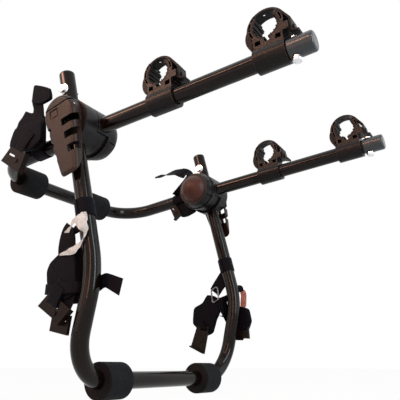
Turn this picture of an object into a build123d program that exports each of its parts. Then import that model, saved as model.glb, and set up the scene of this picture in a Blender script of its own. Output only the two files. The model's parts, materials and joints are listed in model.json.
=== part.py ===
from build123d import *
from math import asin, atan2, cos, degrees, radians, sin, tan
import os

# Bike carrier for two bikes, strapped on the back of a car. Millimetres.
# The origin is the middle of the hub axis, +X runs out along the bike arms, away from the car,
# +Z is up, and the side called left is -Y.

# Tubes
tube_radius = 12.7
tube_wall = 1.6
layer_gap = 0.7
leg_half_span = 206.3
leg_lean = 14.7
leg_top = 102.0
leg_bend_drop = 242.0
leg_bend_angle = 26.5
leg_bend_radius = 150.0
foot_run = 146.4
lower_corner_radius = 66.0
upper_reach = 213.9
upper_corner_radius = 72.0
upper_angle = 186.1
arm_angle = 4.8
arm_end = 383.0

# Fits
press = 0.05
running = 0.08
moving_gap = 0.4

# Foam rollers
roller_radius = 26.2
roller_rim = 1.5
roller_length = 49.0
upper_roller_left_place = 107.0
upper_roller_right_place = 71.5
lower_roller_left_place = 129.5
lower_roller_right_place = 128.5

# Hubs
drum_radius = 40.0
shell_cover = 0.6
hub_end_depth = 25.5
ring_wall = 3.8
shoulder_half_angle = 22.0
ring_lap = 6.0
ring_top_extra = 42.0
spigot_length = 34.0
dome_radius = 38.0
dome_inset = 7.5
cap_radius = 29.5
cap_height = 20.0
cap_lip = 5.0
cap_mid_angle = 40.0
head_side_gap = 2.0
head_depth = 7.0
axle_radius = 5.0
axle_head_radius = 9.0
axle_head_height = 6.0
axle_nut_flats = 17.0
axle_nut_height = 8.0
thread_past_nut = 3.0
notch_width = 1.8
notch_length = 18.0
notch_depth = 9.0
notch_inset = 3.0
notch_angles = (16.0, -32.0)

# Locking levers and the bonnets above them
bonnet_half_width = 31.0
bonnet_top = 42.0
bonnet_depth = 21.4
bonnet_base = 24.5
bonnet_edge = 7.0
seam_gap = 1.6
lever_side_gap = 0.4
lever_wall = 2.6
lever_tip = -95.5
lever_tip_depth = 10.0
lever_tip_corner = 11.0
lever_taper = 7.8
lever_slope = 3.6
lever_back_cut = -72.0
lever_back_gap = 0.6
lever_edge = 8.0
lever_rim = 0.8
lever_pin_inset = 8.0
lever_pin_drop = 9.5
lever_pin_radius = 2.0
lug_thickness = 5.0
lug_spread = 13.0
slot_height = 11.4
slot_pitch = 23.8
slot_middle = -10.4
slot_start = 3.8
slot_shift = 1.6
slot_rise = 19.5
slot_rest = 2.6
slot_round = 1.8
notch_drop = 3.0
small_slot_height = 9.6
small_slot_start = -18.4
small_slot_shift = 0.8
badge_width = 17.6
badge_height = 15.6
badge_x = -6.7
badge_z = 11.8
badge_depth = 1.8
badge_rim = 2.6
badge_round = 2.0
lug_margin = 3.2
lug_slope = 1.6

# Fasteners at the leg tops and the arm ends
stop_bolt_height = 67.0
stop_bolt_radius = 4.0
stop_head_radius = 7.6
stop_head_height = 5.0
washer_radius = 9.6
washer_thickness = 1.5
nut_flats = 13.0
nut_height = 6.5
end_bolt_place = 361.0
end_bolt_radius = 3.0
end_head_radius = 5.5
end_head_height = 3.5
end_nut_radius = 7.0
end_nut_height = 7.7

# Arm end caps and leg plugs
arm_cap_start = 353.0
arm_cap_wall = 1.6
arm_cap_floor = 5.0
plug_length = 14.0
plug_rim = 3.0

# Cradles
cradle_places_left = (155.0, 329.0)
cradle_places_right = (163.0, 326.0)
cradle_width = 28.0
sleeve_length = 45.0
sleeve_radius = 17.3
jaw_centre_height = 42.5
jaw_radius = 25.3
jaw_wall = 5.0
liner_wall = 3.0
liner_rib = 1.4
liner_rib_count = 13
jaw_opening = 27.0
jaw_lip_drop = 14.0
foot_left = -20.0
foot_right = 22.0
keyhole_radius = 4.5
keyhole_depth = 17.5
pocket_depth = 8.0
pocket_rim = 1.1
foot_pocket = (8.0, 7.0)
foot_pocket_inset = 6.5
foot_pocket_height = 19.0
jaw_pockets = ((118, 30), (152, 30), (186, 26), (32, 30), (-2, 30))
strap_width = 20.0
strap_thickness = 3.0
strap_gap = 0.3
strap_hole_radius = 2.4
peg_radius = 3.0
peg_head_radius = 5.5
peg_height = 30.0
peg_boss_reach = 31.0
peg_head_height = 2.4
peg_play = 0.6
boss_lap = 3.0

# Webbing, hook plates and buckles
webbing_thickness = 1.6
webbing_width = 28.0
plate_thickness = 2.5
plate_lip = 9.0
rivet_radius = 3.5
rivet_shank_radius = 2.1
rivet_head_height = 1.4
buckle_thickness = 5.0
wire_radius = 1.6
tag_thickness = 0.8
pack_step = 7.0
upper_pack_step = 6.5

arm_half_span = leg_half_span - 2 * tube_radius - layer_gap
bore_radius = tube_radius - tube_wall
eye_outer = arm_half_span + tube_radius
eye_inner = arm_half_span - tube_radius
eye_radius = drum_radius - ring_wall - moving_gap
ring_inner = drum_radius - ring_wall
collar_start = ring_inner + moving_gap / 2
tube_start = drum_radius + 1.0
shell_inner = eye_outer + 1.5
drum_outer = leg_half_span + tube_radius + shell_cover
bonnet_outer = drum_outer + bonnet_depth
bonnet_middle = bonnet_top - bonnet_half_width
lever_half_width = bonnet_half_width - lever_side_gap
lever_pin_out = bonnet_outer - lever_pin_inset
lever_tip_inner = bonnet_outer - lever_tip_depth
lever_inner = drum_outer + lever_back_gap
lever_top = bonnet_base - seam_gap
pin_height = bonnet_base - lever_pin_drop
swing_radius = lever_pin_out - lever_inner
top_swing = ((bonnet_outer - lever_pin_out) ** 2 + (lever_top - pin_height) ** 2) ** 0.5 + moving_gap
cap_seat = eye_inner - hub_end_depth
dome_centre = eye_inner - dome_inset
arm_tip = arm_end + arm_cap_floor
arm_cap_radius = tube_radius + arm_cap_wall
lean_x = Vector(cos(radians(leg_lean)), 0, sin(radians(leg_lean)))
lean_z = Vector(-sin(radians(leg_lean)), 0, cos(radians(leg_lean)))
across = Vector(0, 1, 0)


def leg_point(x, y, z):
    """A point given in the legs' own leaning directions."""
    return lean_x * x + across * y + lean_z * z


def side_plane(distance, angle):
    """A plane square to Y on the left side. Its x runs at this angle and its normal points outwards."""
    direction = (cos(radians(angle)), 0, sin(radians(angle)))
    return Plane(origin=(0, -distance, 0), x_dir=direction, z_dir=(0, -1, 0))


def along_plane(distance, angle, reach):
    """A plane square to a tube that leaves the hub axis at this angle, this far along it."""
    direction = Vector(cos(radians(angle)), 0, sin(radians(angle)))
    return Plane(origin=direction * reach - across * distance, x_dir=(0, 1, 0), z_dir=direction)


def finish(block, name):
    """Labels a finished piece and writes it."""
    block.part.label = name
    export_step(block.part, f"parts/{name}.step")


def finish_side(block, name, side):
    """Writes a piece built for the left side, mirrored if it belongs on the right."""
    with BuildPart() as placed:
        if side == "left":
            add(block.part)
        else:
            mirror(block.part, about=Plane.XZ)
    finish(placed, f"{name}_{side}")


def finish_pair(block, name):
    """Writes a left piece and its mirror image on the right."""
    finish_side(block, name, "left")
    finish_side(block, name, "right")


os.makedirs("parts", exist_ok=True)

# Lower frame: two legs, their bend towards the car, and the bottom crossbar in one tube
foot_x = -foot_run * sin(radians(leg_bend_angle))
foot_z = -leg_bend_drop - foot_run * cos(radians(leg_bend_angle))
lower_route = [
    leg_point(0, -leg_half_span, leg_top),
    leg_point(0, -leg_half_span, -leg_bend_drop),
    leg_point(foot_x, -leg_half_span, foot_z),
    leg_point(foot_x, leg_half_span, foot_z),
    leg_point(0, leg_half_span, -leg_bend_drop),
    leg_point(0, leg_half_span, leg_top),
]
lower_radii = [leg_bend_radius, lower_corner_radius, lower_corner_radius, leg_bend_radius]
stop_places = [(0, stop_bolt_height)]

with BuildPart() as lower_frame_tube:
    with BuildLine() as lower_path:
        FilletPolyline(*lower_route, radius=lower_radii)
    with BuildSketch(Plane(origin=lower_path.line @ 0, z_dir=lower_path.line % 0)):
        Circle(tube_radius)
        Circle(bore_radius, mode=Mode.SUBTRACT)
    sweep()
    with BuildSketch(side_plane(0, leg_lean)):
        Circle(axle_radius + press)
        with Locations(*stop_places):
            Circle(stop_bolt_radius + press)
    extrude(amount=leg_half_span + 2 * tube_radius, both=True, mode=Mode.SUBTRACT)
finish(lower_frame_tube, "lower_frame_tube")

with BuildPart() as lower_bore:
    with BuildLine() as lower_bore_path:
        FilletPolyline(*lower_route, radius=lower_radii)
    with BuildSketch(Plane(origin=lower_bore_path.line @ 0, z_dir=lower_bore_path.line % 0)):
        Circle(tube_radius + press)
    sweep()

with BuildPart() as leg_caps:
    with BuildSketch(Plane(origin=leg_point(0, -leg_half_span, leg_top), z_dir=lean_z)):
        Circle(tube_radius)
    extrude(amount=plug_rim)
    fillet(leg_caps.faces().sort_by(Axis((0, 0, 0), lean_z))[-1].edges(), plug_rim * 0.8)
    with BuildSketch(Plane(origin=leg_point(0, -leg_half_span, leg_top), z_dir=lean_z)):
        Circle(bore_radius - press)
    extrude(amount=-plug_length)
    mirror(about=Plane.XZ)
finish(leg_caps, "leg_caps")

# Stop bolts through the leg tops, with both heads on the left side of their legs
with BuildPart() as leg_washers:
    for centre in (leg_half_span, -leg_half_span):
        with BuildSketch(side_plane(centre + tube_radius, leg_lean)):
            with Locations(*stop_places):
                Circle(washer_radius)
                Circle(stop_bolt_radius + press, mode=Mode.SUBTRACT)
        extrude(amount=washer_thickness)
finish(leg_washers, "leg_washers")


def stop_bolt(centre):
    """One bolt through a leg top, its domed head on the -Y side."""
    seat = side_plane(centre + tube_radius + washer_thickness, leg_lean)
    with BuildPart() as block:
        with BuildSketch(seat):
            with Locations(*stop_places):
                Circle(stop_head_radius)
        extrude(amount=stop_head_height)
        fillet(block.edges().sort_by(Axis.Y)[0], stop_head_height * 0.5)
        with BuildSketch(seat):
            with Locations(*stop_places):
                Circle(stop_bolt_radius)
        extrude(amount=-(2 * tube_radius + washer_thickness + nut_height))
    return block


left_bolt = stop_bolt(leg_half_span)
right_bolt = stop_bolt(-leg_half_span)
with BuildPart() as leg_bolts:
    add(left_bolt.part)
    add(right_bolt.part)
finish(leg_bolts, "leg_bolts")

with BuildPart() as leg_nuts:
    for centre in (leg_half_span, -leg_half_span):
        with BuildSketch(side_plane(centre - tube_radius, leg_lean)):
            with Locations(*stop_places):
                RegularPolygon(nut_flats / 2, 6, major_radius=False)
                Circle(stop_bolt_radius + press, mode=Mode.SUBTRACT)
        extrude(amount=-nut_height)
finish(leg_nuts, "leg_nuts")


def roller(bar_x, bar_z, place, bore):
    """A foam roller along Y on a crossbar, bored to the tube's own run."""
    with BuildPart() as block:
        with BuildSketch(Plane(origin=(bar_x, place - roller_length / 2, bar_z), z_dir=(0, 1, 0))):
            Circle(roller_radius)
        extrude(amount=roller_length)
        fillet(block.edges().filter_by(GeomType.CIRCLE), roller_rim)
        add(bore, mode=Mode.SUBTRACT)
    return block


foot = leg_point(foot_x, 0, foot_z)
lower_left = roller(foot.X, foot.Z, -lower_roller_left_place, lower_bore.part)
finish(lower_left, "lower_roller_left")
lower_right = roller(foot.X, foot.Z, lower_roller_right_place, lower_bore.part)
finish(lower_right, "lower_roller_right")

# Hub shell: the fixed outer slice of the drum, clamped on the leg, with the bonnet over the lever
lug_base = pin_height - lug_margin
hub_side = Plane(origin=(0, 0, 0), x_dir=across, z_dir=lean_x)
with BuildPart() as hub_shell_left:
    with BuildSketch(side_plane(shell_inner, leg_lean)):
        Circle(drum_radius)
    extrude(amount=drum_outer - shell_inner)
    with BuildSketch(side_plane(drum_outer, leg_lean)):
        with Locations((0, bonnet_middle)):
            Circle(bonnet_half_width)
        with Locations((0, bonnet_top)):
            Rectangle(2 * bonnet_half_width, 2 * (bonnet_top - bonnet_base), mode=Mode.INTERSECT)
    extrude(amount=bonnet_outer - drum_outer)
    fillet(hub_shell_left.faces().sort_by(Axis.Y)[0].edges().filter_by(GeomType.CIRCLE), bonnet_edge)
    with BuildSketch(hub_side):
        with Locations((-lever_pin_out, pin_height)):
            Circle(top_swing)
        with Locations((-drum_outer, pin_height)):
            Rectangle(4 * top_swing, 2 * top_swing, align=(Align.MAX, Align.CENTER), mode=Mode.INTERSECT)
    extrude(amount=bonnet_half_width, both=True, mode=Mode.SUBTRACT)
    for side in (-1, 1):
        with BuildSketch(Plane(origin=lean_x * side * lug_spread, x_dir=across, z_dir=lean_x)):
            Polygon(
                (-drum_outer, bonnet_base),
                (-lever_pin_out + lug_slope, bonnet_base),
                (-lever_pin_out - lug_margin, lug_base + lug_margin + lug_slope),
                (-lever_pin_out - lug_margin, lug_base),
                (-drum_outer, lug_base),
                align=None,
            )
        extrude(amount=lug_thickness / 2, both=True)
    with BuildSketch(hub_side):
        with Locations((-lever_pin_out, pin_height)):
            Circle(lever_pin_radius + press)
    extrude(amount=bonnet_half_width, both=True, mode=Mode.SUBTRACT)
    with BuildSketch(side_plane(shell_inner, leg_lean)):
        Circle(axle_radius + press)
    extrude(amount=drum_outer - shell_inner, mode=Mode.SUBTRACT)
    add(lower_bore.part, mode=Mode.SUBTRACT)
finish_pair(hub_shell_left, "hub_shell")

# Hub end: the domed inner slice of the drum, hollow for the axle's head
with BuildPart() as hub_end_left:
    with BuildSketch(Plane.XY):
        with BuildLine():
            seat = (dome_radius**2 - (dome_centre - cap_seat) ** 2) ** 0.5
            dome = CenterArc((0, -dome_centre), dome_radius, 0, degrees(atan2(dome_centre - cap_seat, seat)))
            drum_end = -eye_inner + moving_gap
            Polyline(dome @ 1, (0, -cap_seat), (0, drum_end), (drum_radius, drum_end))
            Polyline((drum_radius, -eye_inner + moving_gap), (drum_radius, -dome_centre), dome @ 0)
        make_face()
    revolve(axis=Axis.Y)
    with BuildSketch(side_plane(cap_seat, leg_lean)):
        Circle(axle_head_radius + head_side_gap)
    extrude(amount=axle_head_height + head_depth, mode=Mode.SUBTRACT)
    with BuildSketch(side_plane(cap_seat, leg_lean)):
        Circle(axle_radius + press)
    extrude(amount=eye_inner - cap_seat, mode=Mode.SUBTRACT)
    for turn in notch_angles:
        notch_middle = cap_seat + notch_inset + notch_length / 2
        with BuildSketch(along_plane(notch_middle, arm_angle + turn, drum_radius)):
            Rectangle(notch_length, notch_width)
        extrude(amount=-notch_depth, mode=Mode.SUBTRACT)
finish_pair(hub_end_left, "hub_end")

with BuildPart() as hub_cap_left:
    cap_sphere = (cap_radius**2 + cap_height**2) / (2 * cap_height)
    with BuildSketch(Plane.XY):
        with BuildLine():
            rim = ThreePointArc(
                (cap_radius, -cap_seat),
                (cap_sphere * sin(radians(cap_mid_angle)),
                 -cap_seat + cap_height - cap_sphere * (1 - cos(radians(cap_mid_angle)))),
                (0, -cap_seat + cap_height),
            )
            Polyline(rim @ 1, (0, -cap_seat), rim @ 0)
        make_face()
    revolve(axis=Axis.Y)
    with BuildSketch(side_plane(cap_seat, leg_lean)):
        Circle(axle_head_radius + head_side_gap - press)
        Circle(axle_head_radius, mode=Mode.SUBTRACT)
    extrude(amount=cap_lip)
finish_pair(hub_cap_left, "hub_cap")

head_seat = cap_seat + axle_head_height + head_depth
with BuildPart() as hub_axle_left:
    with BuildSketch(side_plane(head_seat, leg_lean)):
        Circle(axle_head_radius)
    extrude(amount=-axle_head_height)
    fillet(hub_axle_left.edges().sort_by(Axis.Y)[-1], axle_head_height * 0.6)
    with BuildSketch(side_plane(head_seat, leg_lean)):
        Circle(axle_radius)
    extrude(amount=drum_outer + axle_nut_height + thread_past_nut - head_seat)
finish_pair(hub_axle_left, "hub_axle")

with BuildPart() as hub_nuts:
    with BuildSketch(side_plane(drum_outer, leg_lean)):
        RegularPolygon(axle_nut_flats / 2, 6, major_radius=False)
        Circle(axle_radius + press, mode=Mode.SUBTRACT)
    extrude(amount=axle_nut_height)
    mirror(about=Plane.XZ)
finish(hub_nuts, "hub_nuts")

# Lever: a hollow cover that turns about a pin just under the bonnet, its tip swinging outwards


def lever_form(inset):
    """The lever's solid form, or with an inset the hollow inside it."""
    radius = lever_half_width - inset
    start = degrees(asin((lever_top - bonnet_middle) / radius))
    side_x = radius * cos(radians(lever_taper))
    side_z = bonnet_middle - radius * sin(radians(lever_taper))
    tip = lever_tip + inset
    tip_x = side_x - (side_z - tip) * tan(radians(lever_taper))
    front = bonnet_outer - inset
    tip_front = front - (lever_top - tip) * tan(radians(lever_slope))
    with BuildPart() as block:
        with BuildSketch(side_plane(lever_inner, leg_lean)) as outline:
            with BuildLine():
                right = CenterArc((0, bonnet_middle), radius, start, -start - lever_taper)
                left = CenterArc((0, bonnet_middle), radius, 180 - start, start + lever_taper)
                Polyline(right @ 1, (tip_x, tip), (-tip_x, tip), left @ 1)
                Line(left @ 0, right @ 0)
            make_face()
            fillet(outline.vertices().group_by(Axis.Y)[0], lever_tip_corner - inset)
        extrude(amount=front - lever_inner)
        with BuildSketch(hub_side):
            Polygon(
                (-front, lever_top), (-tip_front, tip), (-front - 1, tip), (-front - 1, lever_top), align=None
            )
        extrude(amount=2 * lever_half_width, both=True, mode=Mode.SUBTRACT)
        outer_face = block.faces().sort_by(Axis.Y)[0]
        top_edge = outer_face.edges().sort_by(Axis((0, 0, 0), lean_z))[-1]
        fillet(outer_face.edges() - [top_edge], lever_edge - inset)
        with BuildSketch(hub_side):
            Polygon(
                (-lever_inner + 1, lever_back_cut),
                (-lever_inner, lever_back_cut),
                (-lever_tip_inner, lever_tip - 1),
                (-lever_inner + 1, lever_tip - 1),
                align=None,
            )
        extrude(amount=2 * lever_half_width, both=True, mode=Mode.SUBTRACT)
    return block.part


def slot_face(row, height, drop):
    """One grip slot seen from the side, rising towards the drum."""
    depth = bonnet_outer - lever_inner - slot_rest
    with BuildSketch() as face:
        place = (-bonnet_outer, slot_middle - drop - row * slot_pitch, 0)
        with Locations(Location(place, (0, 0, slot_rise))):
            RectangleRounded(2 * depth / cos(radians(slot_rise)), height, slot_round)
    return face.sketch


lever_hollow = lever_form(lever_wall)
with BuildPart() as lever_left:
    add(lever_form(0))
    top_face = lever_left.faces().sort_by(Axis((0, 0, 0), lean_z))[-1]
    fillet(top_face.edges().sort_by(Axis.Y)[0], lever_rim)
    with BuildSketch(side_plane(bonnet_outer, leg_lean)):
        with Locations((badge_x, badge_z)):
            RectangleRounded(badge_width, badge_height, badge_round)
            RectangleRounded(badge_width - 2 * badge_rim, badge_height - 2 * badge_rim, badge_round / 2,
                             mode=Mode.SUBTRACT)
    extrude(amount=-badge_depth, mode=Mode.SUBTRACT)
    add(lever_hollow, mode=Mode.SUBTRACT)
    for row in range(3):
        with BuildSketch(hub_side.offset(slot_start + row * slot_shift)):
            add(slot_face(row, slot_height, 0))
        extrude(amount=2 * lever_half_width, mode=Mode.SUBTRACT)
        with BuildSketch(hub_side.offset(small_slot_start + row * small_slot_shift)):
            add(slot_face(row, small_slot_height, notch_drop))
        extrude(amount=-2 * lever_half_width, mode=Mode.SUBTRACT)
    with BuildSketch(hub_side):
        with Locations((-lever_pin_out, pin_height)):
            Circle(lever_pin_radius + running)
    extrude(amount=lever_half_width + 1, both=True, mode=Mode.SUBTRACT)
    with BuildSketch(hub_side):
        with Locations((-lever_pin_out, pin_height)):
            Rectangle(2 * swing_radius, 2 * swing_radius, align=(Align.MIN, Align.MIN))
            Circle(swing_radius, mode=Mode.SUBTRACT)
    extrude(amount=lever_half_width + 1, both=True, mode=Mode.SUBTRACT)
finish_pair(lever_left, "lever")

with BuildPart() as lever_pins:
    with BuildSketch(hub_side):
        with Locations((-lever_pin_out, pin_height)):
            Circle(lever_pin_radius)
    extrude(amount=lever_half_width - 1, both=True)
    mirror(about=Plane.XZ)
finish(lever_pins, "lever_pins")


def ring_face(outer, inner, start, size):
    """A slice of a ring round the sketch's own origin."""
    with BuildSketch() as face:
        with BuildLine():
            outside = CenterArc((0, 0), outer, start, size)
            inside = CenterArc((0, 0), inner, start, size)
            Line(outside @ 0, inside @ 0)
            Line(outside @ 1, inside @ 1)
        make_face()
    return face.sketch


def knuckle(angle, near_face, ring_start, ring_size):
    """Half of the turning drum: an eye, a ring slice across both halves, and a spigot in the tube."""
    half = tube_radius - moving_gap / 2
    with BuildPart() as block:
        with BuildSketch(side_plane(near_face, angle)):
            Circle(eye_radius)
        extrude(amount=half)
        with BuildSketch(side_plane(near_face, angle)):
            add(ring_face(drum_radius, eye_radius - ring_lap, ring_start, ring_size))
        extrude(amount=half)
        with BuildSketch(side_plane(eye_inner, angle)):
            add(ring_face(drum_radius, ring_inner, ring_start, ring_size))
        extrude(amount=2 * tube_radius)
        with BuildSketch(along_plane(arm_half_span, angle, collar_start)):
            Circle(tube_radius)
        extrude(amount=tube_start - collar_start)
        with BuildSketch(along_plane(arm_half_span, angle, collar_start)):
            Circle(bore_radius - press)
        extrude(amount=tube_start + spigot_length - collar_start)
        with BuildSketch(side_plane(near_face, angle)):
            Circle(axle_radius + running)
        extrude(amount=half, mode=Mode.SUBTRACT)
    return block


arm_knuckle_left = knuckle(
    arm_angle, arm_half_span + moving_gap / 2, -shoulder_half_angle, 2 * shoulder_half_angle + ring_top_extra
)
finish_pair(arm_knuckle_left, "arm_knuckle")
frame_knuckle_left = knuckle(
    upper_angle, eye_inner, -shoulder_half_angle - ring_top_extra, 2 * shoulder_half_angle + ring_top_extra
)
finish_pair(frame_knuckle_left, "frame_knuckle")

# Upper frame: a flat U that swings towards the roof or the legs
upper_x = cos(radians(upper_angle))
upper_z = sin(radians(upper_angle))


def upper_point(reach, y):
    """A point on the upper frame's plane, this far from the hub axis."""
    return (upper_x * reach, y, upper_z * reach)


upper_route = [
    upper_point(tube_start, -arm_half_span),
    upper_point(upper_reach, -arm_half_span),
    upper_point(upper_reach, arm_half_span),
    upper_point(tube_start, arm_half_span),
]
with BuildPart() as upper_frame_tube:
    with BuildLine() as upper_path:
        FilletPolyline(*upper_route, radius=upper_corner_radius)
    with BuildSketch(Plane(origin=upper_path.line @ 0, z_dir=upper_path.line % 0)):
        Circle(tube_radius)
        Circle(bore_radius, mode=Mode.SUBTRACT)
    sweep()
finish(upper_frame_tube, "upper_frame_tube")

with BuildPart() as upper_bore:
    with BuildLine() as upper_bore_path:
        FilletPolyline(*upper_route, radius=upper_corner_radius)
    with BuildSketch(Plane(origin=upper_bore_path.line @ 0, z_dir=upper_bore_path.line % 0)):
        Circle(tube_radius + press)
    sweep()

upper_bar = upper_point(upper_reach, 0)
upper_left = roller(upper_bar[0], upper_bar[2], -upper_roller_left_place, upper_bore.part)
finish(upper_left, "upper_roller_left")
upper_right = roller(upper_bar[0], upper_bar[2], upper_roller_right_place, upper_bore.part)
finish(upper_right, "upper_roller_right")


def bolt_plane(height):
    """A plane square to the end bolt, at this height above the arm's axis."""
    frame = side_plane(arm_half_span, arm_angle)
    return Plane(origin=frame.from_local_coords((end_bolt_place, height, 0)), z_dir=frame.y_dir)


# Arms
with BuildPart() as arm_tube_left:
    with BuildSketch(along_plane(arm_half_span, arm_angle, tube_start)):
        Circle(tube_radius)
        Circle(bore_radius, mode=Mode.SUBTRACT)
    extrude(amount=arm_end - tube_start)
    with BuildSketch(bolt_plane(0)):
        Circle(end_bolt_radius + press)
    extrude(amount=2 * tube_radius, both=True, mode=Mode.SUBTRACT)
finish_pair(arm_tube_left, "arm_tube")

with BuildPart() as arm_cap_left:
    with BuildSketch(along_plane(arm_half_span, arm_angle, arm_cap_start)):
        Circle(arm_cap_radius)
    extrude(amount=arm_tip - arm_cap_start)
    fillet(arm_cap_left.faces().sort_by(Axis.X)[-1].edges(), arm_cap_floor * 0.8)
    with BuildSketch(along_plane(arm_half_span, arm_angle, arm_cap_start)):
        Circle(tube_radius + press)
    extrude(amount=arm_end - arm_cap_start, mode=Mode.SUBTRACT)
    with BuildSketch(bolt_plane(0)):
        Circle(end_bolt_radius + press)
    extrude(amount=2 * tube_radius, both=True, mode=Mode.SUBTRACT)
finish_pair(arm_cap_left, "arm_cap")

with BuildPart() as arm_bolt_left:
    with BuildSketch(bolt_plane(arm_cap_radius)):
        Circle(end_head_radius)
    extrude(amount=end_head_height)
    fillet(arm_bolt_left.faces().sort_by(Axis.Z)[-1].edges(), end_head_height * 0.6)
    with BuildSketch(bolt_plane(arm_cap_radius)):
        Circle(end_bolt_radius)
    extrude(amount=-(2 * arm_cap_radius + end_nut_height * 0.6))
finish_pair(arm_bolt_left, "arm_bolt")

with BuildPart() as arm_nut_left:
    with BuildSketch(bolt_plane(-arm_cap_radius)):
        Circle(end_nut_radius)
    extrude(amount=-end_nut_height)
    fillet(arm_nut_left.faces().sort_by(Axis.Z)[0].edges(), end_nut_height * 0.6)
    with BuildSketch(bolt_plane(-arm_cap_radius)):
        Circle(end_bolt_radius + press)
    extrude(amount=-end_nut_height * 0.62, mode=Mode.SUBTRACT)
finish_pair(arm_nut_left, "arm_nut")

# Cradles: a sleeve that slides on the arm, two curved jaws, a ribbed liner and a strap over the top
seat_radius = jaw_radius - jaw_wall
liner_radius = seat_radius - liner_wall


def cradle_plane(place, out):
    """A plane square to Y through a cradle, with its origin on the arm's axis."""
    frame = side_plane(arm_half_span + out, arm_angle)
    return Plane(origin=frame.from_local_coords((place, 0, 0)), x_dir=frame.x_dir, z_dir=frame.z_dir)


def cradle(place):
    """The cradle's body: sleeve, feet, jaws and the peg's boss."""
    with BuildPart() as block:
        with BuildSketch(cradle_plane(place, -cradle_width / 2)):
            with Locations((0, jaw_centre_height)):
                Circle(jaw_radius)
            with Locations(((foot_left + foot_right) / 2, jaw_centre_height / 2)):
                Rectangle(foot_right - foot_left, jaw_centre_height)
            with Locations((0, jaw_centre_height)):
                Circle(seat_radius, mode=Mode.SUBTRACT)
            with Locations((0, jaw_centre_height + jaw_radius)):
                Rectangle(jaw_opening, 2 * jaw_radius - jaw_lip_drop, mode=Mode.SUBTRACT)
            with Locations((0, keyhole_depth + keyhole_radius)):
                Circle(keyhole_radius, mode=Mode.SUBTRACT)
                with Locations((0, keyhole_radius)):
                    Rectangle(keyhole_radius, 2 * keyhole_radius, mode=Mode.SUBTRACT)
            with Locations(((peg_boss_reach + foot_right) / 2 - boss_lap, peg_height)):
                Rectangle(peg_boss_reach - foot_right + 2 * boss_lap, 2 * peg_head_radius)
            with Locations((0, jaw_centre_height)):
                Circle(seat_radius, mode=Mode.SUBTRACT)
        extrude(amount=cradle_width)
        for face_out, depth in ((-cradle_width / 2, pocket_depth), (cradle_width / 2, -pocket_depth)):
            with BuildSketch(cradle_plane(place, face_out)):
                with Locations((0, jaw_centre_height)):
                    for start, size in jaw_pockets:
                        add(ring_face(jaw_radius - pocket_rim, seat_radius + pocket_rim, start, size))
                for foot_side in (foot_left + foot_pocket_inset, foot_right - foot_pocket_inset):
                    with Locations((foot_side, foot_pocket_height)):
                        Rectangle(*foot_pocket)
            extrude(amount=depth, mode=Mode.SUBTRACT)
        with BuildSketch(along_plane(arm_half_span, arm_angle, place - sleeve_length / 2)):
            Circle(sleeve_radius)
        extrude(amount=sleeve_length)
        with BuildSketch(along_plane(arm_half_span, arm_angle, place - sleeve_length / 2)):
            Circle(tube_radius + running)
        extrude(amount=sleeve_length, mode=Mode.SUBTRACT)
        with BuildSketch(along_plane(arm_half_span, arm_angle, place)):
            with Locations((0, peg_height)):
                Circle(peg_radius)
        peg_end = peg_boss_reach + strap_thickness + peg_play
        extrude(amount=peg_end)
        with BuildSketch(along_plane(arm_half_span, arm_angle, place + peg_end)):
            with Locations((0, peg_height)):
                Circle(peg_head_radius)
        extrude(amount=peg_head_height)
        with BuildSketch(cradle_plane(place, -cradle_width / 2)):
            with Locations((0, jaw_centre_height)):
                Circle(seat_radius)
        extrude(amount=cradle_width, mode=Mode.SUBTRACT)
    return block


def cradle_liner(place):
    """The rubber lining of the jaws, with ribs across it."""
    gap = degrees(atan2(jaw_opening / 2, seat_radius)) + 8
    start = 90 + gap
    size = 360 - 2 * gap
    with BuildPart() as block:
        with BuildSketch(cradle_plane(place, -cradle_width / 2)):
            with Locations((0, jaw_centre_height)):
                add(ring_face(seat_radius - press, liner_radius, start, size))
            for rib in range(liner_rib_count):
                turn = start + size * (rib + 0.5) / liner_rib_count
                with Locations(Location((liner_radius * cos(radians(turn)),
                                         jaw_centre_height + liner_radius * sin(radians(turn)), 0),
                                        (0, 0, turn))):
                    Rectangle(2 * liner_rib, liner_rib)
            with Locations((0, jaw_centre_height - liner_radius)):
                Rectangle(keyhole_radius, 4 * liner_wall, mode=Mode.SUBTRACT)
        extrude(amount=cradle_width)
    return block


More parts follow.
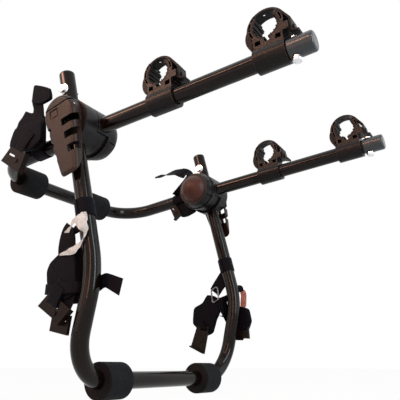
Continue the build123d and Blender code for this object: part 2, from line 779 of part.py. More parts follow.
def cradle_strap(place):
    """The rubber strap: a lobe at one side, the band over the top and a tail past the peg."""
    band_inner = jaw_radius + strap_gap
    band_outer = band_inner + strap_thickness
    tail = peg_boss_reach + strap_gap
    with BuildPart() as block:
        with BuildSketch(cradle_plane(place, -strap_width / 2)):
            with BuildLine():
                band = CenterArc((0, jaw_centre_height), band_outer, 35, 140)
                under = CenterArc((0, jaw_centre_height), band_inner, 35, 140)
                lobe_side = -sleeve_length / 2 - strap_gap
                lobe_low = sleeve_radius - 4
                ThreePointArc(band @ 1, (foot_left - 11, lobe_low + 13), (lobe_side, lobe_low))
                Polyline(
                    (lobe_side, lobe_low),
                    (lobe_side, sleeve_radius + 6),
                    (foot_left - 1, sleeve_radius + 9),
                    (-band_inner, jaw_centre_height - 6),
                    under @ 1,
                )
                Line(band @ 0, (tail + strap_thickness, jaw_centre_height))
                bend = peg_height - peg_head_radius - 1
                Polyline(
                    (tail + strap_thickness, jaw_centre_height),
                    (tail + strap_thickness, bend),
                    (tail + 4 * strap_thickness, bend - 0.9 * strap_thickness),
                    (tail + 3.5 * strap_thickness, bend - 1.7 * strap_thickness),
                    (tail, bend - strap_thickness / 2),
                    (tail, jaw_centre_height - 1),
                )
                Line((tail, jaw_centre_height - 1), under @ 0)
            make_face()
        extrude(amount=strap_width)
        with BuildSketch(along_plane(arm_half_span, arm_angle, place)):
            with Locations((0, peg_height)):
                Circle(peg_radius + press)
        extrude(amount=2 * peg_boss_reach, mode=Mode.SUBTRACT)
        for turn in (72, 98):
            direction = Vector(cos(radians(arm_angle + turn)), 0, sin(radians(arm_angle + turn)))
            middle = cradle_plane(place, 0).from_local_coords((0, jaw_centre_height, 0))
            with BuildSketch(Plane(origin=middle, z_dir=direction)):
                Circle(strap_hole_radius)
            extrude(amount=2 * jaw_radius, mode=Mode.SUBTRACT)
    return block


for side, places in (("left", cradle_places_left), ("right", cradle_places_right)):
    for number, place in enumerate(places, start=1):
        finish_side(cradle(place), f"cradle_{number}", side)
        finish_side(cradle_liner(place), f"cradle_{number}_liner", side)
        finish_side(cradle_strap(place), f"cradle_{number}_strap", side)

# Straps, folded up as they are stored. Outlines are (x, z) in the legs' directions for the leg straps
# and level for the upper ones, and each layer runs between two distances from the middle of the carrier.
band_radius = tube_radius + press + webbing_thickness
pack_far = leg_half_span + tube_radius + press + moving_gap
pack_near = pack_far - 4 * pack_step + 2
behind_leg = leg_half_span - tube_radius - press - webbing_thickness / 2


def strap_band(frame, width):
    """A turn of webbing round a tube."""
    with BuildPart() as block:
        with BuildSketch(frame):
            Circle(band_radius)
            Circle(tube_radius + press, mode=Mode.SUBTRACT)
        extrude(amount=width)
    return block.part


def layer(angle, outline, near, far):
    """A flat layer square to Y, from one distance to another."""
    with BuildPart() as block:
        with BuildSketch(side_plane(near, angle)):
            Polygon(*outline, align=None)
        extrude(amount=far - near)
    return block.part


def hook_plate(angle, corners, slit, hole, near):
    """A coated hook plate with a slit for the webbing, a rivet hole and a lip along its last edge."""
    lip_start, lip_end = Vector(*corners[2]), Vector(*corners[3])
    slit_middle = (Vector(*slit[0]) + Vector(*slit[1])) / 2
    inward = (Vector(*corners[0]) - lip_end).normalized() * plate_thickness
    lip = [lip_start, lip_end, lip_end + inward, lip_start + inward]
    with BuildPart() as block:
        with BuildSketch(side_plane(near, angle)):
            Polygon(*corners, align=None)
            SlotCenterPoint(slit_middle, slit[1], 2 * webbing_thickness, mode=Mode.SUBTRACT)
            with Locations(hole):
                Circle(rivet_shank_radius + press, mode=Mode.SUBTRACT)
        extrude(amount=plate_thickness)
        with BuildSketch(side_plane(near, angle)):
            Polygon(*[(point.X, point.Y) for point in lip], align=None)
        extrude(amount=plate_lip)
    return block


def rivet(angle, centre, near):
    """A rivet through a hook plate, its head on the plate's front."""
    with BuildPart() as block:
        with BuildSketch(side_plane(near, angle)):
            with Locations(centre):
                Circle(rivet_shank_radius)
        extrude(amount=plate_thickness)
        with BuildSketch(side_plane(near + plate_thickness, angle)):
            with Locations(centre):
                Circle(rivet_radius)
        extrude(amount=rivet_head_height)
    return block.part


def from_bend(*points):
    """Points of a leg strap, whose heights are given from where the leg bends."""
    return [(x, z - leg_bend_drop) for x, z in points]


# Left leg strap: a turn round the leg, a flap, the folded pack and the free end behind the leg
left_foot = leg_point(0, -leg_half_span, 82 - leg_bend_drop)
left_band = strap_band(Plane(origin=left_foot, z_dir=lean_z), webbing_width)
left_inner = from_bend((-58, 42), (-33, 52), (-15, 48), (-15, 17), (-20.5, -8), (-30, -31), (-72, 2))
left_middle = from_bend(
    (-52, 50), (-33, 54), (-15, 50), (-15, 17), (-20.5, -8), (-31.5, -32), (-77, -5), (-73, 27),
)
left_outer = from_bend((-50, 45), (-18, 48), (-16, 17), (-22, -8), (-33, -34), (-60, -20), (-64, 27))
left_flap = from_bend((-45, 94), (-13.6, 84), (-13.6, 46), (-58, 46))
with BuildPart() as leg_strap_left:
    add(left_band)
    add(layer(leg_lean, left_flap, leg_half_span - pack_step / 2, leg_half_span + pack_step / 2))
    add(layer(leg_lean, left_inner, pack_near, pack_near + pack_step))
    add(layer(leg_lean, left_middle, pack_near + pack_step, pack_far - pack_step))
    add(layer(leg_lean, left_outer, pack_far - pack_step, pack_far))
    with BuildSketch(Plane(origin=leg_point(0, 0, -42 - leg_bend_drop), x_dir=lean_x, z_dir=lean_z)):
        with BuildLine():
            Polyline((-33, -behind_leg), (14, -behind_leg), (22, -behind_leg - 7), (46, -behind_leg - 10))
        trace(line_width=webbing_thickness)
    extrude(amount=webbing_width)
finish(leg_strap_left, "leg_strap_left")

left_hook_corners = from_bend((-96, -19), (-70, -7), (-33, -47), (-57, -59))
left_hook_slit = from_bend((-76, -18), (-60, -34))
left_hook_hole = from_bend((-66, -39))[0]
leg_hook_left = hook_plate(leg_lean, left_hook_corners, left_hook_slit, left_hook_hole, pack_far)
finish(leg_hook_left, "leg_hook_left")

with BuildPart() as leg_buckle_left:
    with BuildSketch(side_plane(pack_far - buckle_thickness, leg_lean)):
        Polygon(*from_bend((-73, -40), (-41, -50), (-51, -74), (-81, -59)), align=None)
        Polygon(*from_bend((-68, -44), (-47, -51), (-49, -56), (-70, -49)), align=None, mode=Mode.SUBTRACT)
    extrude(amount=buckle_thickness)
finish(leg_buckle_left, "leg_buckle_left")

tag_outline = from_bend((-6, 100), (17, 90), (14, 61), (3, 43), (-32, 38), (-44, 40), (-11, 61), (-23, 82))
with BuildPart() as blank_tag:
    tag_near = leg_half_span + band_radius
    add(layer(leg_lean, tag_outline, tag_near, tag_near + tag_thickness))
finish(blank_tag, "blank_tag")

# Right leg strap, looser, with its free end and buckle outside the leg
right_foot = leg_point(0, leg_half_span, 64 - leg_bend_drop)
right_band = strap_band(Plane(origin=right_foot, z_dir=lean_z), webbing_width)
right_inner = from_bend((-60, 48), (-44, 60), (-24, 41), (-32, 14), (-60, -20), (-98, -28), (-98, 16))
right_middle = from_bend(
    (-65, 52), (-44, 65), (-20, 43), (-28, 14), (-56, -24), (-108, -35), (-107, 18), (-86, 40),
)
right_outer = from_bend((-70, 48), (-44, 58), (-22, 37), (-26, 14), (-40, -14), (-88, -20), (-92, 28))
right_flap = from_bend((-42, 73), (-13.6, 82), (-13.6, 52), (-24, 28), (-45, 41))
right_end = from_bend((-50, -2), (-14, 2), (24, -16), (16, -58), (-12, -48), (-36, -20))
with BuildPart() as leg_strap_right:
    add(right_band)
    add(layer(leg_lean, right_flap, -leg_half_span - pack_step / 2, -leg_half_span + pack_step / 2))
    add(layer(leg_lean, right_inner, -pack_near - pack_step, -pack_near))
    add(layer(leg_lean, right_middle, -pack_far + pack_step, -pack_near - pack_step))
    add(layer(leg_lean, right_outer, -pack_far, -pack_far + pack_step))
    add(layer(leg_lean, right_end, -pack_far - webbing_thickness, -pack_far))
finish(leg_strap_right, "leg_strap_right")

right_hook_corners = from_bend((-90, -22), (-64, -33), (-88, -80), (-115, -58))
right_hook_slit = from_bend((-83, -32), (-71, -37))
right_hook_hole = from_bend((-87, -53))[0]
leg_hook_right = hook_plate(leg_lean, right_hook_corners, right_hook_slit, right_hook_hole, -pack_near)
finish(leg_hook_right, "leg_hook_right")

with BuildPart() as leg_buckle_right:
    with BuildSketch(side_plane(-pack_far - webbing_thickness, leg_lean)):
        Polygon(*from_bend((-34, -30), (8, -42), (2, -74), (-42, -60)), align=None)
        Polygon(*from_bend((-28, -38), (0, -46), (-1, -51), (-30, -43)), align=None, mode=Mode.SUBTRACT)
    extrude(amount=-buckle_thickness)
finish(leg_buckle_right, "leg_buckle_right")

wire_y = pack_near - wire_radius
with BuildPart() as wire_ring:
    with BuildLine() as wire_path:
        FilletPolyline(
            leg_point(-40, wire_y, 36 - leg_bend_drop),
            leg_point(-24, wire_y, 41 - leg_bend_drop),
            leg_point(-28, wire_y, 14 - leg_bend_drop),
            leg_point(-44, wire_y, 10 - leg_bend_drop),
            radius=4,
            close=True,
        )
    with BuildSketch(Plane(origin=wire_path.line @ 0, z_dir=wire_path.line % 0)):
        Circle(wire_radius)
    sweep()
finish(wire_ring, "wire_ring")

with BuildPart() as leg_rivets:
    add(rivet(leg_lean, left_hook_hole, pack_far))
    add(rivet(leg_lean, right_hook_hole, -pack_near))
finish(leg_rivets, "leg_rivets")

# Left upper strap: a turn round the upper frame, a stepped pack outside it and the standing end
upper_band_width = webbing_width - 2
upper_left_reach = 84.0
upper_near = arm_half_span + band_radius - moving_gap
upper_far = upper_near + 3 * upper_pack_step
upper_low = [(-107, 52), (-122, 41), (-139, -8), (-96, -26), (-62, -16), (-60, 40), (-88, 52)]
upper_middle = [(-100, 50), (-131, 28), (-139, -4), (-92, -22), (-64, -10), (-64, 40)]
upper_top = [(-96, 40), (-122, 20), (-136, -2), (-90, -22), (-68, -6), (-70, 34)]
upper_standing = [(-103, 106), (-66, 90), (-64, 66), (-78, 66), (-76, 36), (-100, 46)]
with BuildPart() as upper_strap_left:
    add(strap_band(along_plane(arm_half_span, upper_angle, upper_left_reach), upper_band_width))
    add(layer(0, upper_low, upper_near, upper_near + upper_pack_step))
    add(layer(0, upper_middle, upper_near + upper_pack_step, upper_far - upper_pack_step))
    add(layer(0, upper_top, upper_far - upper_pack_step, upper_far))
    add(layer(0, upper_standing, upper_near + upper_pack_step / 2, upper_near + upper_pack_step * 1.5))
finish(upper_strap_left, "upper_strap_left")

upper_left_corners = [(-157, -27), (-135, -6), (-88, -31), (-102, -63)]
upper_left_slit = [(-138, -18), (-124, -26)]
upper_left_hole = (-118, -35)
upper_hook_left = hook_plate(0, upper_left_corners, upper_left_slit, upper_left_hole, upper_far)
finish(upper_hook_left, "upper_hook_left")

# Right upper strap: a turn near the hub, its end standing up over the frame and its hook hanging below
upper_right_reach = 44.0
leaf_far = arm_half_span + 3
leaf_width = 25.0
hanging_near = -arm_half_span - 2
hanging_far = -arm_half_span + 12
with BuildPart() as upper_strap_right:
    add(strap_band(along_plane(-arm_half_span, upper_angle, upper_right_reach), upper_band_width))
    with BuildSketch(side_plane(-leaf_far, 0)):
        with BuildLine():
            Spline((-56, 8.2), (-47, 28), (-56, 52), (-96, 66), (-136, 62))
        trace(line_width=webbing_thickness)
    extrude(amount=leaf_width)
    add(layer(0, [(-70, -20.7), (-46, -18.2), (-34, -36), (-52, -45)], hanging_near, hanging_far))
finish(upper_strap_right, "upper_strap_right")

upper_right_corners = [(-76, -24), (-62, -18), (-44, -44), (-60, -56)]
upper_right_slit = [(-70, -25), (-64, -29)]
upper_right_hole = (-60, -36)
upper_hook_right = hook_plate(0, upper_right_corners, upper_right_slit, upper_right_hole, hanging_far)
finish(upper_hook_right, "upper_hook_right")

with BuildPart() as upper_rivets:
    add(rivet(0, upper_left_hole, upper_far))
    add(rivet(0, upper_right_hole, hanging_far))
finish(upper_rivets, "upper_rivets")
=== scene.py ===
import json
from math import cos, pi, radians, sin

import bpy
from mathutils import Matrix, Vector, noise


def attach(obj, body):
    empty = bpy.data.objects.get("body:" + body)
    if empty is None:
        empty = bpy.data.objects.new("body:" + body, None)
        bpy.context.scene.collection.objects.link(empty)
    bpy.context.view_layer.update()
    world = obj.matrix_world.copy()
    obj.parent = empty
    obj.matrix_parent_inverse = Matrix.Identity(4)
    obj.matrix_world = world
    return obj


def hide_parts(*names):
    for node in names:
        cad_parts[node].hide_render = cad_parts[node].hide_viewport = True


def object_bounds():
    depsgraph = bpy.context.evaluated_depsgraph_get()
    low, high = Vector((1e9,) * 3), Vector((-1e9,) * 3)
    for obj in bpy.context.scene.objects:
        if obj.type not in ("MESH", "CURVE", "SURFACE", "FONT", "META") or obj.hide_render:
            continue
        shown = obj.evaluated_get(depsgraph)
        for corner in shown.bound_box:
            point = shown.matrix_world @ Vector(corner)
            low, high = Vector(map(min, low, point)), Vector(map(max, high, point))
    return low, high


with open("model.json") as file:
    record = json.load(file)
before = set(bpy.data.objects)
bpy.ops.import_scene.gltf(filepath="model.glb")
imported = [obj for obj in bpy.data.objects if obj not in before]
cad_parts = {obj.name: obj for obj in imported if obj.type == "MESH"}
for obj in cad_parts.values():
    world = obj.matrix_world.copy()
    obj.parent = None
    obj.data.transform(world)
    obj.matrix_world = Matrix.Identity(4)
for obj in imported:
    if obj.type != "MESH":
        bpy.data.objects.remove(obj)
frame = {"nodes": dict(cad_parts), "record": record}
cad_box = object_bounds()

# Half the distance between the arms and the tube's radius in metres, and how far the legs lean
ARM_SPAN = 0.1802
TUBE_RADIUS = 0.0127
LEG_LEAN = radians(14.7)


# Shader groups

def shader_group(name, inputs, outputs):
    """An empty node group with these named sockets, and its two end nodes."""
    tree = bpy.data.node_groups.new(name, "ShaderNodeTree")
    for label, kind, value in inputs:
        socket = tree.interface.new_socket(label, in_out="INPUT", socket_type=kind)
        if value is not None:
            socket.default_value = value
    for label, kind in outputs:
        tree.interface.new_socket(label, in_out="OUTPUT", socket_type=kind)
    start = tree.nodes.new("NodeGroupInput")
    end = tree.nodes.new("NodeGroupOutput")
    return tree, start, end


def add_node(tree, kind, settings=None, **values):
    """A node with some of its settings and unlinked inputs set."""
    node = tree.nodes.new(kind)
    for key, value in (settings or {}).items():
        setattr(node, key, value)
    for key, value in values.items():
        node.inputs[key.replace("_", " ")].default_value = value
    return node


def noise_node(tree, vector, scale, detail, roughness):
    """Noise on this vector."""
    node = add_node(tree, "ShaderNodeTexNoise", Detail=detail, Roughness=roughness)
    tree.links.new(vector, node.inputs["Vector"])
    if isinstance(scale, (int, float)):
        node.inputs["Scale"].default_value = scale
    else:
        tree.links.new(scale, node.inputs["Scale"])
    return node.outputs["Fac"]


def math_node(tree, operation, first, second=None, clamp=False):
    """One sum on two values, which may be sockets or numbers."""
    node = tree.nodes.new("ShaderNodeMath")
    node.operation = operation
    node.use_clamp = clamp
    for place, value in enumerate((first, second)):
        if value is None:
            continue
        if isinstance(value, (int, float)):
            node.inputs[place].default_value = value
        else:
            tree.links.new(value, node.inputs[place])
    return node.outputs[0]


def mix_node(tree, amount, first, second):
    """A colour between two, which may be sockets or colours."""
    node = tree.nodes.new("ShaderNodeMix")
    node.data_type = "RGBA"
    for place, value in ((0, amount), (6, first), (7, second)):
        if isinstance(value, (int, float, tuple)):
            node.inputs[place].default_value = value
        else:
            tree.links.new(value, node.inputs[place])
    return node.outputs[2]


def range_node(tree, value, low, high, new_low, new_high):
    """A value moved from one range to another, kept inside it."""
    node = add_node(tree, "ShaderNodeMapRange")
    tree.links.new(value, node.inputs["Value"])
    for label, number in (("From Min", low), ("From Max", high), ("To Min", new_low), ("To Max", new_high)):
        if isinstance(number, (int, float)):
            node.inputs[label].default_value = number
        else:
            tree.links.new(number, node.inputs[label])
    return node.outputs["Result"]


def build_patches():
    """Soft patches of two sizes, for colour and gloss that vary over a surface."""
    tree, start, end = shader_group(
        "soft patches",
        [("Vector", "NodeSocketVector", None), ("Scale", "NodeSocketFloat", 40.0)],
        [("Mask", "NodeSocketFloat")],
    )
    broad = noise_node(tree, start.outputs["Vector"], start.outputs["Scale"], 3.0, 0.55)
    fine_scale = math_node(tree, "MULTIPLY", start.outputs["Scale"], 6.5)
    fine = noise_node(tree, start.outputs["Vector"], fine_scale, 2.0, 0.6)
    total = math_node(tree, "ADD", math_node(tree, "MULTIPLY", broad, 0.68),
                      math_node(tree, "MULTIPLY", fine, 0.32))
    tree.links.new(range_node(tree, total, 0.36, 0.64, 0.0, 1.0), end.inputs["Mask"])
    return tree


def build_grain():
    """Moulded grain: shallow cells with fine noise on them."""
    tree, start, end = shader_group(
        "moulded grain",
        [("Vector", "NodeSocketVector", None), ("Scale", "NodeSocketFloat", 1400.0)],
        [("Height", "NodeSocketFloat")],
    )
    cells = add_node(tree, "ShaderNodeTexVoronoi", {"feature": "SMOOTH_F1"}, Smoothness=0.6)
    tree.links.new(start.outputs["Vector"], cells.inputs["Vector"])
    tree.links.new(start.outputs["Scale"], cells.inputs["Scale"])
    fine = noise_node(tree, start.outputs["Vector"], start.outputs["Scale"], 2.0, 0.5)
    total = math_node(tree, "ADD", math_node(tree, "MULTIPLY", cells.outputs["Distance"], 0.7),
                      math_node(tree, "MULTIPLY", fine, 0.3))
    tree.links.new(total, end.inputs["Height"])
    return tree


def build_edges():
    """Where an edge is, from the normal that a small bevel would have, broken up by noise."""
    tree, start, end = shader_group(
        "edge mask",
        [("Vector", "NodeSocketVector", None), ("Width", "NodeSocketFloat", 0.0008)],
        [("Mask", "NodeSocketFloat"), ("Normal", "NodeSocketVector")],
    )
    bevel = tree.nodes.new("ShaderNodeBevel")
    bevel.samples = 4
    tree.links.new(start.outputs["Width"], bevel.inputs["Radius"])
    geometry = tree.nodes.new("ShaderNodeNewGeometry")
    compare = tree.nodes.new("ShaderNodeVectorMath")
    compare.operation = "DOT_PRODUCT"
    tree.links.new(bevel.outputs["Normal"], compare.inputs[0])
    tree.links.new(geometry.outputs["Normal"], compare.inputs[1])
    bend = range_node(tree, compare.outputs["Value"], 0.7, 0.99, 1.0, 0.0)
    rubbed = noise_node(tree, start.outputs["Vector"], 260.0, 3.0, 0.6)
    broken = range_node(tree, rubbed, 0.42, 0.6, 0.15, 1.0)
    tree.links.new(math_node(tree, "MULTIPLY", bend, broken), end.inputs["Mask"])
    tree.links.new(bevel.outputs["Normal"], end.inputs["Normal"])
    return tree


def build_specks():
    """Scattered small specks, such as dust."""
    tree, start, end = shader_group(
        "specks",
        [("Vector", "NodeSocketVector", None), ("Scale", "NodeSocketFloat", 900.0),
         ("Amount", "NodeSocketFloat", 0.1)],
        [("Mask", "NodeSocketFloat")],
    )
    cells = add_node(tree, "ShaderNodeTexVoronoi")
    tree.links.new(start.outputs["Vector"], cells.inputs["Vector"])
    tree.links.new(start.outputs["Scale"], cells.inputs["Scale"])
    spot = math_node(tree, "LESS_THAN", cells.outputs["Distance"], 0.22)
    pick = add_node(tree, "ShaderNodeSeparateColor")
    tree.links.new(cells.outputs["Color"], pick.inputs["Color"])
    some = math_node(tree, "LESS_THAN", pick.outputs["Red"], start.outputs["Amount"])
    tree.links.new(math_node(tree, "MULTIPLY", spot, some), end.inputs["Mask"])
    return tree


def build_weave():
    """Plain weave on a flat map in metres: how high the threads stand, and their shade."""
    tree, start, end = shader_group(
        "weave",
        [("Vector", "NodeSocketVector", None), ("Pitch", "NodeSocketFloat", 0.0012)],
        [("Height", "NodeSocketFloat"), ("Mask", "NodeSocketFloat")],
    )
    parts = tree.nodes.new("ShaderNodeSeparateXYZ")
    tree.links.new(start.outputs["Vector"], parts.inputs[0])
    turns = math_node(tree, "DIVIDE", 2 * pi, start.outputs["Pitch"])
    waves = []
    for label, share in (("X", 1.0), ("Y", 0.8)):
        phase = math_node(tree, "MULTIPLY", parts.outputs[label], turns)
        waves.append(math_node(tree, "SINE", math_node(tree, "MULTIPLY", phase, share)))
    crossed = math_node(tree, "MULTIPLY", waves[0], waves[1])
    ribs = math_node(tree, "MULTIPLY", math_node(tree, "ABSOLUTE", waves[0]), 0.5)
    total = math_node(tree, "ADD", math_node(tree, "MULTIPLY", crossed, 0.5), ribs)
    tree.links.new(total, end.inputs["Height"])
    tree.links.new(range_node(tree, total, -0.1, 0.8, 0.0, 1.0), end.inputs["Mask"])
    return tree


GROUPS = {
    "patches": build_patches(),
    "grain": build_grain(),
    "edges": build_edges(),
    "specks": build_specks(),
    "weave": build_weave(),
}


def use_group(tree, name, vector, **values):
    """A shader group in a material."""
    node = tree.nodes.new("ShaderNodeGroup")
    node.node_tree = GROUPS[name]
    tree.links.new(vector, node.inputs["Vector"])
    for key, value in values.items():
        node.inputs[key].default_value = value
    return node.outputs


def bump(tree, height, strength, distance, normal=None):
    """A bump from a height, on top of another normal if one is given."""
    node = add_node(tree, "ShaderNodeBump", Strength=strength, Distance=distance)
    tree.links.new(height, node.inputs["Height"])
    if normal is not None:
        tree.links.new(normal, node.inputs["Normal"])
    return node.outputs["Normal"]


def start_material(name, roughness, specular=0.5, metallic=0.0, coat=0.0, coat_roughness=0.1, sheen=0.0):
    """A new material, its tree, its shader and the object coordinates."""
    made = bpy.data.materials.new(name)
    made.use_nodes = True
    tree = made.node_tree
    shader = tree.nodes["Principled BSDF"]
    for label, value in (("Roughness", roughness), ("Specular IOR Level", specular), ("Metallic", metallic),
                         ("Coat Weight", coat), ("Coat Roughness", coat_roughness),
                         ("Sheen Weight", sheen)):
        shader.inputs[label].default_value = value
    place = tree.nodes.new("ShaderNodeTexCoord").outputs["Object"]
    return made, tree, shader, place


def link(tree, socket, shader, label):
    """Links a socket to one of a shader's inputs."""
    tree.links.new(socket, shader.inputs[label])


def gloss_paint():
    """Gloss black powder paint on steel tube, with a faint orange peel and a little dust."""
    made, tree, shader, place = start_material("gloss black paint", 0.12, specular=0.17)
    patches = use_group(tree, "patches", place, Scale=30.0)["Mask"]
    specks = use_group(tree, "specks", place, Scale=700.0, Amount=0.05)["Mask"]
    colour = mix_node(tree, patches, (0.003, 0.0016, 0.0012, 1), (0.006, 0.0034, 0.0026, 1))
    colour = mix_node(tree, math_node(tree, "MULTIPLY", specks, 0.35), colour, (0.16, 0.14, 0.12, 1))
    link(tree, colour, shader, "Base Color")
    link(tree, range_node(tree, patches, 0.0, 1.0, 0.1, 0.19), shader, "Roughness")
    peel = noise_node(tree, place, 420.0, 2.0, 0.5)
    link(tree, bump(tree, peel, 0.05, 0.0006), shader, "Normal")
    return made


def foam():
    """Closed cell foam with a fine open skin."""
    made, tree, shader, place = start_material("roller foam", 0.82, specular=0.1)
    patches = use_group(tree, "patches", place, Scale=55.0)["Mask"]
    cells = add_node(tree, "ShaderNodeTexVoronoi", Scale=1500.0)
    tree.links.new(place, cells.inputs["Vector"])
    pores = range_node(tree, cells.outputs["Distance"], 0.05, 0.5, 0.0, 1.0)
    colour = mix_node(tree, patches, (0.0065, 0.0072, 0.0082, 1), (0.011, 0.0122, 0.0138, 1))
    colour = mix_node(tree, pores, (0.003, 0.003, 0.003, 1), colour)
    link(tree, colour, shader, "Base Color")
    soft = noise_node(tree, place, 320.0, 3.0, 0.6)
    height = math_node(tree, "ADD", math_node(tree, "MULTIPLY", pores, 0.5), soft)
    link(tree, bump(tree, height, 0.5, 0.0006), shader, "Normal")
    return made


def moulded(name, dark, light, edge_wear_and_highlight, roughness, grain_scale, specular=0.5):
    """Moulded plastic: grained, with edges painted lighter, partly as wear and partly as a painted
    highlight, and patches of gloss.
    """
    made, tree, shader, place = start_material(name, roughness, specular=specular)
    patches = use_group(tree, "patches", place, Scale=45.0)["Mask"]
    edges = use_group(tree, "edges", place)
    grain = use_group(tree, "grain", place, Scale=grain_scale)["Height"]
    specks = use_group(tree, "specks", place, Scale=1100.0, Amount=0.06)["Mask"]
    colour = mix_node(tree, patches, dark + (1,), light + (1,))
    # Edges lightened along the bevel mask: partly wear, partly a painted highlight on the rims.
    colour = mix_node(tree, math_node(tree, "MULTIPLY", edges["Mask"], 0.6), colour, edge_wear_and_highlight + (1,))
    colour = mix_node(tree, math_node(tree, "MULTIPLY", specks, 0.3), colour, (0.2, 0.18, 0.17, 1))
    link(tree, colour, shader, "Base Color")
    link(tree, range_node(tree, patches, 0.0, 1.0, roughness - 0.06, roughness + 0.08), shader, "Roughness")
    link(tree, bump(tree, grain, 0.25, 0.0004, edges["Normal"]), shader, "Normal")
    return made


def zinc(name, dark, light):
    """Zinc plate, finely brushed."""
    made, tree, shader, place = start_material(name, 0.24, metallic=1.0)
    patches = use_group(tree, "patches", place, Scale=150.0)["Mask"]
    edges = use_group(tree, "edges", place, Width=0.0004)
    colour = mix_node(tree, patches, dark + (1,), light + (1,))
    link(tree, colour, shader, "Base Color")
    link(tree, range_node(tree, patches, 0.0, 1.0, 0.18, 0.34), shader, "Roughness")
    scratches = noise_node(tree, place, 2600.0, 2.0, 0.5)
    link(tree, bump(tree, scratches, 0.08, 0.0002, edges["Normal"]), shader, "Normal")
    return made


def webbing():
    """Dark woven webbing, its threads in maroon and navy patches that are painted warm and cool reflection
    tints.
    """
    made, tree, shader, place = start_material("woven webbing", 0.5, specular=0.05, sheen=0.03)
    # The blue sheen tint is a painted cool reflection colour on the grazing sides.
    shader.inputs["Sheen Tint"].default_value = (0.25, 0.45, 1.0, 1)
    flat = tree.nodes.new("ShaderNodeTexCoord").outputs["UV"]
    weave = use_group(tree, "weave", flat, Pitch=0.0016)
    patches = use_group(tree, "patches", place, Scale=30.0)["Mask"]
    specks = use_group(tree, "specks", place, Scale=900.0, Amount=0.05)["Mask"]
    # Maroon and navy patches: painted warm and cool reflection tints, placed at random over the webbing.
    base = mix_node(tree, patches, (0.0014, 0.0006, 0.0009, 1), (0.0008, 0.0008, 0.0018, 1))
    threads = mix_node(tree, patches, (0.0042, 0.0018, 0.0026, 1), (0.0022, 0.0024, 0.0052, 1))
    colour = mix_node(tree, weave["Mask"], base, threads)
    colour = mix_node(tree, math_node(tree, "MULTIPLY", specks, 0.3), colour, (0.2, 0.18, 0.17, 1))
    link(tree, colour, shader, "Base Color")
    link(tree, range_node(tree, weave["Mask"], 0.0, 1.0, 0.62, 0.45), shader, "Roughness")
    link(tree, bump(tree, weave["Height"], 0.6, 0.0005), shader, "Normal")
    return made


def salmon_tape():
    """A salmon coloured woven label, left blank."""
    made, tree, shader, place = start_material("salmon label", 0.6, specular=0.15)
    flat = tree.nodes.new("ShaderNodeTexCoord").outputs["UV"]
    weave = use_group(tree, "weave", flat, Pitch=0.0008)
    patches = use_group(tree, "patches", place, Scale=60.0)["Mask"]
    colour = mix_node(tree, patches, (0.30, 0.105, 0.085, 1), (0.46, 0.19, 0.155, 1))
    link(tree, mix_node(tree, math_node(tree, "MULTIPLY", weave["Mask"], 0.4), colour,
                        (0.55, 0.27, 0.23, 1)), shader, "Base Color")
    link(tree, bump(tree, weave["Height"], 0.4, 0.0003), shader, "Normal")
    return made


def label_cloth():
    """Thin white label, finely creased."""
    made, tree, shader, place = start_material("white label", 0.42, specular=0.4)
    patches = use_group(tree, "patches", place, Scale=90.0)["Mask"]
    colour = mix_node(tree, patches, (0.36, 0.48, 0.55, 1), (0.48, 0.64, 0.74, 1))
    link(tree, colour, shader, "Base Color")
    link(tree, range_node(tree, patches, 0.0, 1.0, 0.36, 0.52), shader, "Roughness")
    creases = noise_node(tree, place, 240.0, 4.0, 0.65)
    link(tree, bump(tree, creases, 0.5, 0.0012), shader, "Normal")
    return made


MATERIALS = {
    "gloss_black_tube": gloss_paint(),
    "foam": foam(),
    "zinc": zinc("bright zinc plate", (0.68, 0.69, 0.71), (0.86, 0.86, 0.85)),
    "dull zinc": zinc("dull zinc plate", (0.07, 0.07, 0.075), (0.16, 0.16, 0.165)),
    "webbing": webbing(),
    "tag_paper": label_cloth(),
}
# The fifth entry of each row is the edge colour: partly wear, partly a painted highlight on the rims.
for slot_name, title, dark, light, edge_wear_and_highlight, roughness, grain_scale, specular in (
    ("cover_plastic", "lever plastic", (0.013, 0.0072, 0.0055), (0.021, 0.0118, 0.009),
     (0.05, 0.033, 0.025), 0.36, 1300.0, 0.2),
    ("cap_plastic", "dome plastic", (0.036, 0.0115, 0.0075), (0.054, 0.0175, 0.0115), (0.09, 0.038, 0.026),
     0.42, 1500.0, 0.2),
    ("hub_plastic", "hub plastic", (0.0045, 0.0044, 0.005), (0.009, 0.0088, 0.0095), (0.045, 0.04, 0.04),
     0.34, 1300.0, 0.16),
    # The plug's pale blue edge colour is a painted highlight from cool light on its rim.
    ("plug_plastic", "plug plastic", (0.009, 0.014, 0.018), (0.016, 0.025, 0.032), (0.2, 0.26, 0.3), 0.24,
     1500.0, 0.5),
    ("rubber", "strap rubber", (0.004, 0.004, 0.0044), (0.0075, 0.0075, 0.008), (0.03, 0.028, 0.028), 0.45,
     1800.0, 0.12),
    # The cradle's pale edge colour is a painted highlight on its rims.
    ("cradle_plastic", "cradle plastic", (0.0026, 0.002, 0.0022), (0.0055, 0.0044, 0.0046),
     (0.42, 0.34, 0.32), 0.3, 1500.0, 0.15),
    ("coated_hook", "coated steel", (0.0035, 0.0019, 0.0012), (0.007, 0.004, 0.0026), (0.04, 0.026, 0.019),
     0.4, 900.0, 0.1),
    ("buckle_plastic", "buckle plastic", (0.0045, 0.0027, 0.002), (0.009, 0.0056, 0.0042),
     (0.045, 0.033, 0.026), 0.34, 1500.0, 0.1),
):
    MATERIALS[slot_name] = moulded(title, dark, light, edge_wear_and_highlight, roughness, grain_scale, specular)

# Steel pieces that look darker than their slot's bright zinc
DARKENED = {
    "leg_rivets": "coated_hook",
    "upper_rivets": "coated_hook",
    "hub_nuts": "coated_hook",
    "hub_axle_left": "dull zinc",
    "hub_axle_right": "dull zinc",
    "wire_ring": "dull zinc",
}

